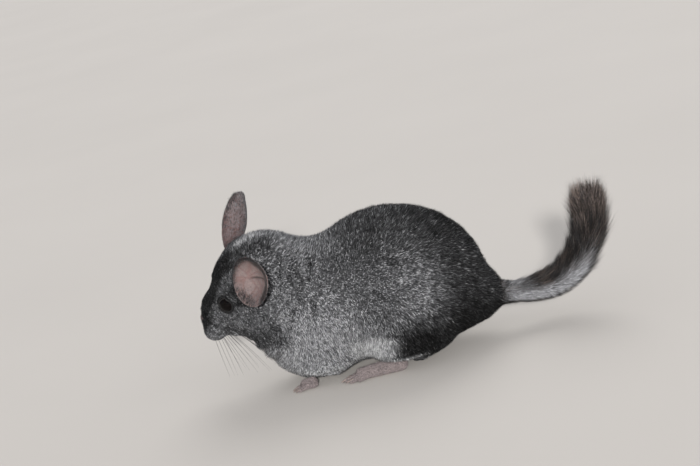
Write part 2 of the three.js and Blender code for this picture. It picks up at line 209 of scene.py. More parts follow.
def mesh_from(bm, name):
    """The mesh of a finished bmesh, which is freed."""
    mesh = bpy.data.meshes.new(name)
    bm.to_mesh(mesh)
    bm.free()
    return mesh


def joined(meshes):
    """Some meshes as one."""
    bm = bmesh.new()
    for mesh in meshes:
        bm.from_mesh(mesh)
        bpy.data.meshes.remove(mesh)
    return mesh_from(bm, "joined")


def node_copy(node, swell=0.0):
    """A CAD node's mesh with its doubles merged, swollen by some millimetres."""
    bm = bmesh.new()
    bm.from_mesh(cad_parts[node].data)
    bmesh.ops.remove_doubles(bm, verts=bm.verts, dist=1e-6)
    bm.normal_update()
    for vert in bm.verts:
        vert.co += vert.normal * swell * MM
    return mesh_from(bm, node + "_copy")


def remeshed(mesh, voxel):
    """A mesh made anew as one closed surface, from voxels of a size in millimetres."""
    obj = linked("remeshing", mesh)
    modifier = obj.modifiers.new("Remesh", "REMESH")
    modifier.mode = "VOXEL"
    modifier.voxel_size = voxel * MM
    return baked(obj)


def read(rows, what, width, kind=float):
    """One property of all vertices, edges or triangles of a mesh, as an array."""
    values = np.empty(len(rows) * width, kind)
    rows.foreach_get(what, values)
    return values.reshape(-1, width)


def arrays_of(mesh):
    """Vertex places, vertex normals and triangles of a mesh as arrays."""
    mesh.calc_loop_triangles()
    corners = read(mesh.loop_triangles, "vertices", 3, int)
    return read(mesh.vertices, "co", 3), read(mesh.vertex_normals, "vector", 3), corners


def move_to(mesh, places):
    """Sets a mesh's vertices to new places."""
    mesh.vertices.foreach_set("co", places.ravel())
    mesh.update()


def relaxed(mesh, strength, rounds):
    """Moves each vertex towards its neighbours' middle, by its own strength, some rounds."""
    places = read(mesh.vertices, "co", 3)
    count = len(places)
    a, b = read(mesh.edges, "vertices", 2, int).T
    degree = np.bincount(np.append(a, b), minlength=count)[:, None]
    for _ in range(rounds):
        sums = [np.bincount(a, places[b, k], count) + np.bincount(b, places[a, k], count) for k in range(3)]
        places += strength[:, None] * (np.stack(sums, 1) / degree - places)
    move_to(mesh, places)


def painted(mesh, name, colours):
    """Stores one colour for each vertex."""
    layer = mesh.attributes.new(name, "FLOAT_COLOR", "POINT")
    full = np.ones((len(colours), 4), np.float32)
    full[:, :3] = colours
    layer.data.foreach_set("color", full.ravel())


HAIR_SHINE = 1.3  # how far the palest stretches of a hair outshine its own colour
EAR_SHINE = (1.12, 1.1, 1.1)


class Value:
    """A shader socket that adds its own Math nodes when it is reckoned with."""

    def __init__(self, shade, socket):
        self.shade = shade
        self.socket = socket

    def reckon(self, operation, first, second):
        return self.shade.node("ShaderNodeMath", {"operation": operation}, {0: first, 1: second})

    def __sub__(self, other):
        return self.reckon("SUBTRACT", self, other)

    def __rsub__(self, other):
        return self.reckon("SUBTRACT", other, self)

    def __mul__(self, other):
        return self.reckon("MULTIPLY", self, other)

    __rmul__ = __mul__


class Shade:
    """A material and the one method that makes its nodes."""

    def __init__(self, name, **sockets):
        self.material = bpy.data.materials.new(name)
        self.material.use_nodes = True
        self.tree = self.material.node_tree
        self.surface = self.tree.nodes["Principled BSDF"]
        for socket, value in sockets.items():
            self.feed(socket.replace("_", " ").title(), value)

    def feed(self, socket, value):
        self.plug(self.surface.inputs[socket], value)
        return self

    def plug(self, socket, value):
        if isinstance(value, Value):
            self.tree.links.new(value.socket, socket)
        else:
            socket.default_value = value

    def node(self, kind, settings, sockets, output=0):
        """A node of any kind: its settings first, then the values or links of its sockets."""
        node = self.tree.nodes.new(kind)
        for setting, value in settings.items():
            setattr(node, setting, value)
        for socket, value in sockets.items():
            self.plug(node.inputs[socket], value)
        return Value(self, node.outputs[output])

    def places(self):
        return self.node("ShaderNodeTexCoord", {}, {}, "Object")

    def noise(self, scale, detail=3.0):
        sockets = {"Vector": self.places(), "Scale": scale, "Detail": detail}
        return self.node("ShaderNodeTexNoise", {}, sockets, "Fac")

    def mixed(self, share, first, second, how="MIX"):
        settings = {"data_type": "RGBA", "blend_type": how}
        return self.node("ShaderNodeMix", settings, {0: share, 6: first, 7: second}, 2)

    def between(self, value, low, high, first, second):
        """The first colour up to low, the second from high on, and their blend between the two."""
        return self.mixed((value - low) * (1 / (high - low)), (*first, 1), (*second, 1))

    def tinted(self, name, tone):
        """The mesh's own colours under that name, multiplied by a tone, as the surface's colour."""
        return self.feed("Base Color", self.mixed(1.0, self.painted(name), tone, "MULTIPLY"))

    def painted(self, name):
        return self.node("ShaderNodeAttribute", {"attribute_name": name}, {}, "Color")

    def bumped(self, height, distance, strength=0.5):
        sockets = {"Height": height, "Distance": distance * MM, "Strength": strength}
        return self.feed("Normal", self.node("ShaderNodeBump", {}, sockets, "Normal"))


def coat_finish(name, roughness=0.7):
    """Hair: the colour of each tuft, broken up along the hair."""
    shade = Shade(name, roughness=roughness)
    shade.tinted("coat", shade.between(shade.noise(900.0), 0.3, 0.7, [0.65] * 3, [HAIR_SHINE] * 3))
    shade.feed("Specular IOR Level", 0.1)
    return shade.material


def skin_finish(name, paint="coat"):
    """Bare skin under hair, darker in its grain."""
    shade = Shade(name, roughness=0.8)
    grain = shade.noise(1400.0, 4.0)
    shade.tinted(paint, shade.between(grain, 0.3, 0.75, [0.5] * 3, [1.0] * 3))
    return shade.bumped(grain, 0.4).material


def ear_finish():
    """Thin skin: fine creases, faint vessels and a soft shine."""
    shade = Shade("ear skin", roughness=0.48)
    fine = shade.noise(700.0, 5.0)
    places = {"Vector": shade.places(), "Scale": 90.0}
    vessels = shade.node("ShaderNodeTexVoronoi", {"feature": "DISTANCE_TO_EDGE"}, places, "Distance")
    red = shade.between(vessels, 0.0, 0.12, (0.86, 0.72, 0.7), [1.0] * 3)
    mottle = shade.between(fine, 0.25, 0.75, (0.8, 0.78, 0.78), EAR_SHINE)
    shade.tinted("skin", shade.mixed(1.0, red, mottle, "MULTIPLY"))
    shade.feed("Subsurface Weight", 0.18)
    shade.feed("Subsurface Radius", (0.004, 0.0015, 0.001))
    return shade.bumped(fine, 0.25, 0.4).material


def eye_finish(brown):
    """A nearly black iris with brown flecks, under a wet gloss."""
    shade = Shade("eye", roughness=0.05)
    shade.feed("Base Color", shade.between(shade.noise(500.0), 0.35, 0.7, (0.002, 0.0015, 0.0015), brown))
    shade.feed("IOR", 1.4)
    shade.feed("Specular IOR Level", 0.15)
    return shade.material


def horn_finish(name, dark, pale):
    """Claw or whisker: smooth horn with faint streaks."""
    shade = Shade(name, roughness=0.35)
    shade.feed("Base Color", shade.between(shade.noise(650.0, 4.0), 0.3, 0.7, dark, pale))
    return shade.bumped(shade.noise(1500.0), 0.1, 0.3).material


def wet_skin_finish(name, dark, pale):
    """Bare damp skin of nose, lips and lids."""
    shade = Shade(name, roughness=0.42)
    grain = shade.noise(2200.0, 2.0)
    shade.feed("Base Color", shade.between(grain, 0.3, 0.7, dark, pale))
    shade.feed("Specular IOR Level", 0.25)
    return shade.bumped(grain, 0.25, 0.6).material


def floor_finish(colour):
    """A plain floor with a hint of cloud."""
    shade = Shade("floor", roughness=0.75)
    shade.feed("Base Color", shade.between(shade.noise(3.0), 0.3, 0.7, [c * 0.97 for c in colour], colour))
    return shade.material


def head_part(h, low=-34, high=-8):
    """1 on the head and 0 on the neck and on the chest below the chin."""
    return ramp(low, high, h[:, 0]) * ramp(-46, -32, h[:, 2])


def flow(points):
    """The lie of the coat: from the nose back over the head, back and down the flanks, down the legs."""
    p = to_animal(points)
    h = to_head(points)
    head_share = head_part(h)[:, None]
    side = np.sign(p[:, 1])
    low = ramp(70, 15, p[:, 2])
    back = np.stack([np.ones(len(p)), 0.1 * side, -0.45 - 0.7 * low], 1)
    rump = ramp(70, 125, p[:, 0])[:, None]
    back = blend(back, np.array([0.75, 0, -0.65]), rump)
    cheek = ramp(6, 24, np.abs(h[:, 1]))
    over = np.stack([-np.ones(len(h)), np.sign(h[:, 1]) * 0.25, 0.25 - 0.7 * cheek], 1)
    over = over @ np.array(HEAD_TURN).T
    wander = np.stack([waves(p, 34, 3), waves(p, 34, 4), waves(p, 34, 5)], 1) * 0.3
    return unit(blend(back, over, head_share) + wander)


# The partings' x and z in the animal's frame, and half their height
CRACKS = [(-33, 105, 12), (-25.5, 99, 15), (-21, 92, 17), (-11.5, 99, 13), (-34.5, 64, 12), (-16, 70, 9)]
CRACK_WIDTH = 0.85
CRACK_DEPTH = 2.2


def crack_depth(p):
    """1 in the fine upright partings that a bend opens in the coat of the neck and shoulder."""
    deepest = np.zeros(len(p))
    for x, z, half in CRACKS:
        line = x + 0.2 * (p[:, 2] - z) + 1.2 * np.sin(p[:, 2] / 4 + x)
        close = np.exp(-(((p[:, 0] - line) / CRACK_WIDTH) ** 2))
        deepest = np.maximum(deepest, close * ramp(half, half * 0.5, np.abs(p[:, 2] - z)))
    return deepest * ramp(12, 26, np.abs(p[:, 1]))


# Lines on the left of the head, in its axes, that the right side mirrors
PAD_LINE = [
    (33.5, 3, -1), (32.8, 5.9, -2.1), (30.5, 12.6, -8.2), (26.7, 14.2, -16.2), (22.6, 11, -24), (12, 17, -21)
]
EYE_LINE = [(-2, 26.3, 5.7), (-11.6, 33, 6), (-20, 36, 2), (-29, 36, -0.3)]
# The fold above the eye, along which a highlight is painted
LID_FOLD_HIGHLIGHT = [(12, 17, 14), (4, 24, 16), (-4, 28, 12)]
CROWN_LINE = [(-25, 2, 29), (-46, 2, 23)]
BROW_LINE = [(13, 15, 12), (-6, 24, 17), (-16, 30, 20)]
EAR_PALE = [(-26, 12, 28), (-33, 16, 25.7), (-41, 17, 24)]
EYE_SLIT = [(11, 16, 9.3), (5, 25, 8), (-2.5, 26.5, 6)]


def mirrored(h):
    """Places in the head's axes with the right side laid over the left."""
    return np.stack([h[:, 0], np.abs(h[:, 1]), h[:, 2]], 1)


def on_line(h, line, width):
    """1 on a line of the head and on its mirror image, fading over a width."""
    q = mirrored(h)
    nearest = np.full(len(q), np.inf)
    for start, end in zip(np.array(line[:-1], float), np.array(line[1:], float)):
        way = end - start
        share = np.clip((q - start) @ way / (way @ way), 0, 1)
        nearest = np.minimum(nearest, np.linalg.norm(q - start - share[:, None] * way, axis=1))
    return np.exp(-((nearest / width) ** 2))


def eye_gap(points):
    """Each point's distance from the nearer eye, in millimetres."""
    gaps = [np.linalg.norm(points - np.array(eye), axis=1) - EYE_RADIUS for eye in EYES.values()]
    return np.minimum(*gaps) / MM


def relief(points):
    """How far creases and folds sink the skin, in millimetres."""
    p = to_animal(points)
    h = to_head(points)
    depth = 1.3 * on_line(h, PAD_LINE, 1.7) + on_line(h, EYE_LINE, 1.5)
    throat = np.exp(-(((p[:, 0] + 58) / 14) ** 2) - ((p[:, 2] - 40) / 14) ** 2)
    depth -= throat * (1.2 + 1.6 * np.sin((0.75 * p[:, 0] - 0.65 * p[:, 2]) * 2 * math.pi / 11))
    return depth + CRACK_DEPTH * crack_depth(p)


def oval(p, middle, reach, edge=0.35):
    """1 inside an oval of the side view, fading over a share of its reach."""
    far = np.hypot((p[:, 0] - middle[0]) / reach[0], (p[:, 2] - middle[1]) / reach[1])
    return ramp(1 + edge, 1 - edge, far)


def markings(points, normals, colours):
    """The coat's colour at each point: black over the crown and back, grey on the sides, pale below, with
    painted shade on upward faces, under the rump, in creases and partings, and a painted highlight above the
    eye.
    """
    tips = points + normals * coat_depth(points)[:, None] * MM
    p = to_animal(tips)
    h = to_head(tips)
    x, side, z = p[:, 0], np.abs(p[:, 1]), p[:, 2]
    rise = normals[:, 2]

    # Tone of the body, from black at 0 to grey at 1
    body = 0.46 + 0.17 * ramp(22, -12, x) + 0.05 * waves(p, 60, 21) + 0.06 * waves(p, 20, 22)
    body += 0.56 * ramp(84, 46, z) * ramp(26, -20, x) - 0.12 * ramp(10, 45, x)
    # Darker where the coat faces up: the back's own black, with painted shade where its top turns from the
    # light
    body *= 1 - 0.64 * ramp(0.3, 0.9, rise) * ramp(-20, 30, x)
    body *= 1 - 0.68 * ramp(60, 105, x)
    body += 0.2 * oval(p, (66, 70), (22, 20), 0.6)
    body *= 1 - 0.55 * ramp(0.1, 0.65, waves(p, 26, 24)) * ramp(20, 60, x) * ramp(45, 75, z)
    body *= 1 + 0.4 * np.clip(waves(p, 13, 26), -1, 1) * ramp(10, 60, x)
    thigh = oval(p, (60, 21), (25, 18), 0.55) * ramp(20, 40, side)
    body *= (1 - 0.93 * thigh) * (1 - 0.45 * ramp(44, 66, x) * ramp(58, 30, z))
    # Painted shade on the faces that look down at the rear, under the rump
    body *= 1 - 0.55 * ramp(0.2, -0.5, rise) * ramp(70, 90, x)

    # Tone of the face: black along the bridge and round the ears, with lines at pads, eyes and brows; painted
    # shade deepens the top of the bridge and the creases at pads and eyes, and a painted highlight lies along
    # the lid fold
    face = 0.29 + 0.1 * waves(p, 12, 23)
    tops = (normals @ np.array(HEAD_TURN))[:, 2]
    # The bridge is black, and painted shade deepens it where the top of the head turns from the light
    bridge = ramp(14 + 2 * waves(p, 9, 25), 8, np.abs(h[:, 1])) * ramp(-0.1, 0.3, tops)
    face *= 1 - 0.9 * bridge * ramp(-24, -12, h[:, 0])
    face *= 1 - 0.6 * on_line(h, BROW_LINE, 4)
    ear_gap = np.linalg.norm(mirrored(h) - [-12, 33, 14], axis=1)
    face *= 1 - 0.6 * ramp(17, 11, ear_gap) * ramp(-18, -8, h[:, 0])
    # Painted shade in the creases at the pad's edge and behind the eye, which relief() also sinks
    face *= 1 - 0.7 * on_line(h, PAD_LINE, 1.8)
    face *= 1 - 0.8 * on_line(h, EYE_LINE, 1.7)
    face *= 1 - 0.45 * ramp(-14, -22, h[:, 2]) * ramp(16, 8, h[:, 0])
    # A painted highlight along the fold above the eye
    face += 0.12 * on_line(h, LID_FOLD_HIGHLIGHT, 1.6)
    face += 0.22 * ramp(17, 24, h[:, 0]) * ramp(-10, -15, h[:, 2])

    tone = blend(body, face, head_part(h, -30, -14))
    crown = on_line(h, CROWN_LINE, 9) * (0.85 + 0.5 * waves(p, 5, 27))
    tone *= 1 - 0.85 * np.clip(crown, 0, 1)
    tone *= 1 - 0.93 * np.maximum(ramp(2.0, 0.9, eye_gap(points)), on_line(h, EYE_SLIT, 1.9))
    # Painted shade darkens the coat in the partings
    tone = np.clip(tone * (1 - 0.9 * crack_depth(p)), 0.01, 1)[:, None]
    colour = blend(np.array(colours.black), np.array(colours.grey), tone)

    # White of the belly, of a patch before the thigh, of the wrists and of a strip beside the crown
    belly = ramp(-0.3, -0.8, rise) * ramp(-40, -20, x) * ramp(70, 50, x)
    patch = oval(p, (25, 25), (19, 10), 0.3) * (1 - thigh)
    wrist = ramp(20, 12, z) * ramp(-2, -14, x)
    white = belly * 0.8 + patch + 0.7 * wrist + 1.2 * on_line(h, EAR_PALE, 3.2)
    return blend(colour, np.array(colours.pale), np.clip(white, 0, 1)[:, None])


def coat_depth(points):
    """How far the skin lies inside the coat's tips, in millimetres."""
    p = to_animal(points)
    h = to_head(points)
    depth = COAT_DEPTH - FACE_DEPTH_LESS * head_part(h, -34, 8)
    depth *= 0.35 + 0.65 * ramp(10, 27, p[:, 2])
    return depth * (ramp(0.8, 5, eye_gap(points)) * 0.9 + 0.1)


# Large primes that spread the cells' numbers over the kinds of clump
CELL_PRIMES = (73856093, 19349663, 83492791)
CLUMP_KINDS = 8192


def clumps(points, size, seed):
    """Four random numbers for each point, the same throughout a clump of about the given size."""
    rng = np.random.default_rng(seed)
    cells = np.floor((points + rng.normal(0, size * 0.2, points.shape)) / size).astype(np.int64)
    key = (cells @ np.array(CELL_PRIMES)) % CLUMP_KINDS
    return rng.normal(size=(CLUMP_KINDS, 4))[key]


def scattered(places, normals, corners, count, rng, weight):
    """Roots spread over triangles by area and weight: their places and normals."""
    a, b, c = (places[corners[:, k]] for k in range(3))
    area = np.linalg.norm(np.cross(b - a, c - a), axis=1) * weight((a + b + c) / 3)
    pick = rng.choice(len(corners), count, p=area / area.sum())
    u = np.sqrt(rng.random(count))[:, None]
    v = rng.random(count)[:, None]
    shares = (1 - u, u * (1 - v), u * v)
    roots = sum(share * places[corners[pick, k]] for k, share in enumerate(shares))
    ways = sum(share * normals[corners[pick, k]] for k, share in enumerate(shares))
    return roots, unit(ways)


def on_map(across, along):
    """Shares across and along as places on the bake map, clear of its edges."""
    return np.stack([0.004 + 0.99 * across, 0.004 + 0.99 * along], 1)


def unwrap(points, centre, axis, across):
    """A square unwrap: the turn round an axis and the way along it."""
    offset = points - np.array(centre)
    along = offset @ np.array(axis)
    third = np.cross(axis, across)
    turn = np.arctan2(offset @ third, offset @ np.array(across)) / (2 * math.pi) + 0.5
    along = (along - along.min()) / max(np.ptp(along), 1e-9)
    return on_map(turn, along)


PATCH = 0.003  # the width of one tuft on the bake map


def tuft_mesh(name, rings, tips, colours, tip_colours, spots):
    """Closed three-sided tufts, from rings as (levels, count, 3 corners, xyz), root first, and tips."""
    levels, count = rings.shape[:2]
    size = levels * 3 + 1
    points = np.concatenate([rings.transpose(1, 0, 2, 3).reshape(count, levels * 3, 3), tips[:, None]], 1)
    faces = [(0, 2, 1)]
    for level in range(levels - 1):
        for k in range(3):
            a, b = level * 3 + k, level * 3 + (k + 1) % 3
            faces += [(a, b, b + 3), (a, b + 3, a + 3)]
    top = (levels - 1) * 3
    faces += [(top, top + 1, size - 1), (top + 1, top + 2, size - 1), (top + 2, top, size - 1)]
    faces = np.array(faces)
    corners = (faces[None] + size * np.arange(count)[:, None, None]).ravel()
    mesh = bpy.data.meshes.new(name)
    mesh.vertices.add(count * size)
    mesh.vertices.foreach_set("co", points.ravel())
    mesh.loops.add(len(corners))
    mesh.loops.foreach_set("vertex_index", corners)
    mesh.polygons.add(len(corners) // 3)
    mesh.polygons.foreach_set("loop_start", np.arange(0, len(corners), 3))
    mesh.update()
    shares = np.append(np.repeat(np.arange(levels) / levels, 3), 1.0)
    shade = blend(colours[:, None], tip_colours[:, None], shares[None, :, None])
    painted(mesh, "coat", shade.reshape(-1, 3))
    sideways = np.append(np.tile([-0.5, 0.5, 0.0], levels), 0.0)
    local = np.stack([sideways * (1 - shares), shares - 0.5], 1) * PATCH
    uv = (spots[:, None] + local[None]).reshape(-1, 2)
    layer = mesh.uv_layers.new(name="OFBake")
    layer.data.foreach_set("uv", np.clip(uv[corners], 0, 1).astype(np.float32).ravel())
    mesh.validate()
    return mesh


def rings_round(centres, ways, normals, widths, flat=0.6):
    """A three-cornered ring round each centre, square to its way. The first corner pair is its wide side."""
    across = unit(np.cross(ways, normals))
    above = np.cross(across, ways)
    half = widths[:, None] / 2
    return np.stack([centres + across * half, centres - across * half, centres + above * half * 2 * flat], 1)


def short_tufts(name, roots, normals, ways, lengths, widths, lift, colours, tips, spots):
    """Straight short tufts: a sunk root ring and one tip."""
    flat = unit(ways - (ways * normals).sum(1, keepdims=True) * normals)
    heading = unit(flat * np.cos(lift)[:, None] + normals * np.sin(lift)[:, None])
    sunk = roots - heading * lengths[:, None] * 0.12
    ring = rings_round(sunk, heading, normals, widths)
    return tuft_mesh(name, ring[None], roots + heading * lengths[:, None], colours, tips, spots)


def region_of(p, h):
    """The coat piece that each root belongs to: the first whose room holds it."""
    x, z = p[:, 0], p[:, 2]
    right, shoulder, head = p[:, 1] > 0, x < 8, h[:, 2] > -40
    rooms = {
        "coat_muzzle": head & (h[:, 0] > 24),
        "coat_face": head & (h[:, 0] > 0),
        "coat_crown": head & (h[:, 0] > -30),
        "coat_belly": (z < 24) & (x < 92),
        "coat_rump": x > 92,
        "coat_back": (z > 98) & (x > -12),
        "coat_shoulder_right": shoulder & right,
        "coat_shoulder_left": shoulder,
        "coat_flank_right": right,
    }
    return np.select(list(rooms.values()), list(rooms), "coat_flank_left")


def number_of(name, description, default):
    """A whole number that the user may change."""
    return bpy.props.IntProperty(name=name, description=description, default=default, min=1)


def colour_of(name, description, *default):
    """A colour that the user may change."""
    return bpy.props.FloatVectorProperty(name=name, description=description, default=default, subtype="COLOR")


class AnimalSizes(bpy.types.PropertyGroup):
    """Sizes and numbers of the skin and coat."""

    skin_voxel: bpy.props.FloatProperty(
        name="Skin voxel", description="Size of the skin's faces, in millimetres", default=1.15
    )
    lift: bpy.props.FloatProperty(
        name="Lift", description="How far the coat stands out", default=math.radians(66), subtype="ANGLE"
    )
    tufts: number_of("Tufts", "Short tufts on head, body and legs", 266000)
    brush_hairs: number_of("Brush hairs", "Long hairs of the tail", 27000)
    whiskers: number_of("Whiskers", "Whiskers on each side", 16)


class AnimalColours(bpy.types.PropertyGroup):
    """Colours of the skin and coat."""

    black: colour_of("Black", "Coat of the back and crown", 0.004, 0.0038, 0.0036)
    grey: colour_of("Grey", "Palest ticking of the sides", 0.46, 0.46, 0.475)
    pale: colour_of("Pale", "Coat of the belly", 0.8, 0.8, 0.81)
    ear_inside: colour_of("Ear inside", "Bare skin in the ear's cup", 0.215, 0.165, 0.157)
    ear_outside: colour_of("Ear outside", "Back of the ear", 0.18, 0.148, 0.145)
    eye_brown: colour_of("Eye brown", "Palest flecks of the iris", 0.004, 0.0025, 0.002)
    foot: colour_of("Foot", "Skin and down of the feet", 0.3, 0.245, 0.235)
    floor: colour_of("Floor", "Plain pale floor", 0.56, 0.525, 0.485)


SKIN_NODES = (
    "torso", "neck", "head", "hind_leg_left", "hind_leg_right", "fore_leg_left", "fore_leg_right"
)
TAIL_NODES = ("tail_root", "tail_middle")
FEET = {
    "hind_foot_left": (-1, True),
    "hind_foot_right": (1, True),
    "fore_paw_left": (-1, False),
    "fore_paw_right": (1, False),
}


def tail_samples(count=200):
    """Points along the tail's middle line, in millimetres, from a cubic through its points."""
    points = np.array([(x, 0.0, z) for x, z in TAIL_POINTS])
    ends = np.vstack([2 * points[0] - points[1], points, 2 * points[-1] - points[-2]])
    line = []
    for i in range(len(points) - 1):
        a, b, c, d = ends[i : i + 4]
        for t in np.linspace(0, 1, 24, endpoint=False):
            bow = 2 * b + (c - a) * t + (2 * a - 5 * b + 4 * c - d) * t**2
            line.append(0.5 * (bow + (3 * b - a - 3 * c + d) * t**3))
    line = np.array([*line, points[-1]])
    run = np.append(0, np.cumsum(np.linalg.norm(np.diff(line, axis=0), axis=1)))
    even = np.linspace(0, run[-1], count)
    return np.stack([np.interp(even, run, line[:, k]) for k in range(3)], 1)


TAIL_LINE = tail_samples()
TAIL_WAYS = unit(np.gradient(TAIL_LINE, axis=0))
TAIL_SPAN = float(np.linalg.norm(np.diff(TAIL_LINE, axis=0), axis=1).sum())
FULLEST = 0.62  # the share of the tail where its brush is widest


def wrapped(angle):
    """An angle brought to within half a turn."""
    return (angle + math.pi) % (2 * math.pi) - math.pi


def on_tail(t, turn, radius):
    """Points in metres at share t of the tail, at an angle round it and a distance from its middle."""
    at = np.clip(t, 0, 1) * (len(TAIL_LINE) - 1)
    index = np.arange(len(TAIL_LINE))
    middle = np.stack([np.interp(at, index, TAIL_LINE[:, k]) for k in range(3)], 1)
    way = unit(np.stack([np.interp(at, index, TAIL_WAYS[:, k]) for k in range(3)], 1))
    past = np.maximum(t - 1, 0)[:, None] * TAIL_SPAN * way
    side = np.array([0.0, 1.0, 0.0])
    above = np.cross(way, side)
    offset = np.cos(turn)[:, None] * side + np.sin(turn)[:, None] * above
    return (middle + past + offset * radius[:, None]) * MM + np.array(ORIGIN), way, offset


def tail_coat_radius(t):
    """The coat's reach from the tail's middle line, as in the solids."""
    spread = np.where(t < FULLEST, 0.75, 0.95)
    full = 16 * (1 - ((t - FULLEST) / spread) ** 2)
    root = 3.5 * np.maximum(0, 1 - t / 0.12) ** 2
    return root + np.where(t < FULLEST, np.maximum(9.8, full), full)


def tail_core_radius(t):
    """The flesh of the tail, where its hairs are rooted."""
    return 6.4 - 4.0 * np.clip(t / 0.86, 0, 1)


class ANIMAL_OT_skin(bpy.types.Operator):
    """One skin under the whole coat, sunk from the solids by the coat's depth"""

    bl_idname = "animal.skin"
    bl_label = "Skin"

    def execute(self, context):
        sizes = context.scene.animal_sizes
        shares = np.linspace(-0.1, 0.88, 26)
        still = np.zeros(len(shares))
        middle = [Vector(p) for p in on_tail(shares, still, still)[0]]
        core = tube("tail core", middle, tail_core_radius(shares) + COAT_DEPTH + SWELL, sides=6)
        eyes = [node_copy(f"eye_{word}") for word in SIDES]
        whole = joined([*(node_copy(node, SWELL) for node in SKIN_NODES), *eyes, core])
        skin = remeshed(whole, sizes.skin_voxel)
        places = read(skin.vertices, "co", 3)
        head_share = head_part(to_head(places), -34, -20)
        relaxed(skin, (0.6 - 0.35 * head_share) * (0.15 + 0.85 * ramp(0, 3, eye_gap(places))), 14)
        places, normals, _ = arrays_of(skin)
        places -= normals * (coat_depth(places) + relief(places) + SWELL)[:, None] * MM
        move_to(skin, places)
        relaxed(skin, np.full(len(places), 0.35), 2)
        places, normals, _ = arrays_of(skin)
        painted(skin, "coat", markings(places, normals, context.scene.animal_colours) * 0.4)
        skin.shade_smooth()
        to_piece("skin", skin, skin_finish("skin"), "coat", *SKIN_NODES, *TAIL_NODES)
        return {"FINISHED"}


class ANIMAL_OT_coat(bpy.types.Operator):
    """The short dense coat of head, body and legs, in pieces"""

    bl_idname = "animal.coat"
    bl_label = "Short coat"

    def execute(self, context):
        sizes = context.scene.animal_sizes
        rng = np.random.default_rng(SEED)
        places, normals, corners = arrays_of(bpy.data.objects["skin"].data)

        def weight(middles):
            h = to_head(middles)
            p = to_animal(middles)
            dense = 1 + 1.3 * head_part(h, -34, -5) + head_part(h, 0, 16)
            dense *= ramp(150, 136, p[:, 0])
            return dense * (eye_gap(middles) > 0.7) * (1 - 0.85 * crack_depth(p))

        roots, ups = scattered(places, normals, corners, sizes.tufts, rng, weight)
        p, h = to_animal(roots), to_head(roots)
        fine = head_part(h, -34, 10)
        low = ramp(30, 10, p[:, 2])
        near_eye = ramp(0.8, 5, eye_gap(roots))
        lock = clumps(p, 2.4, 32)
        lengths = blend(BODY_TUFT[0], FACE_TUFT[0], fine) * (1 - 0.5 * low) * rng.uniform(0.75, 1.15, len(p))
        lengths *= (1 - 0.7 * crack_depth(p)) * (0.4 + 0.6 * near_eye) * (1 + 0.07 * lock[:, 3])
        widths = blend(BODY_TUFT[1], FACE_TUFT[1], fine) * rng.uniform(0.7, 1.25, len(p))
        lift = (sizes.lift * (1 - 0.45 * fine)) * (1 + 0.2 * waves(p, 16, 31)) + rng.normal(0, 0.12, len(p))
        lift *= 0.4 + 0.6 * near_eye
        ways = flow(roots) + rng.normal(0, 0.35, (len(p), 3)) + 0.25 * lock[:, :3]
        base = markings(roots, ups, context.scene.animal_colours)
        grain = clumps(p + lengths[:, None] * 0.8 * ups, 1.15, 35)[:, 0]
        ticking = np.exp(rng.normal(-0.5, 0.8, len(p)) + 0.72 * grain)[:, None]
        rare = rng.random(len(p))
        ticking[rare < 0.12] *= 0.2
        ticking[rare > 0.95] *= 2.4
        silver = 0.05 * (rng.random(len(p)) > 0.9)[:, None]
        tips = np.clip(base * ticking + silver, 0, 0.8)
        names = region_of(p, h)
        finish = coat_finish("coat")
        for name in sorted(set(names)):
            mine = names == name
            unwrapped = unwrap(roots[mine], place(40, 0, 62), FORWARD, SIDEWAYS)
            if name in ("coat_face", "coat_crown", "coat_muzzle"):
                unwrapped = unwrap(roots[mine], in_head(0, 0, 0), head_way(1, 0, 0), head_way(0, 1, 0))
            mesh = short_tufts(
                name, roots[mine], ups[mine], unit(ways[mine]), lengths[mine] * MM, widths[mine] * MM,
                np.clip(lift[mine], 0.15, 1.35), base[mine] * 0.3, tips[mine], unwrapped,
            )
            to_piece(str(name), mesh, finish, "coat")
        return {"FINISHED"}


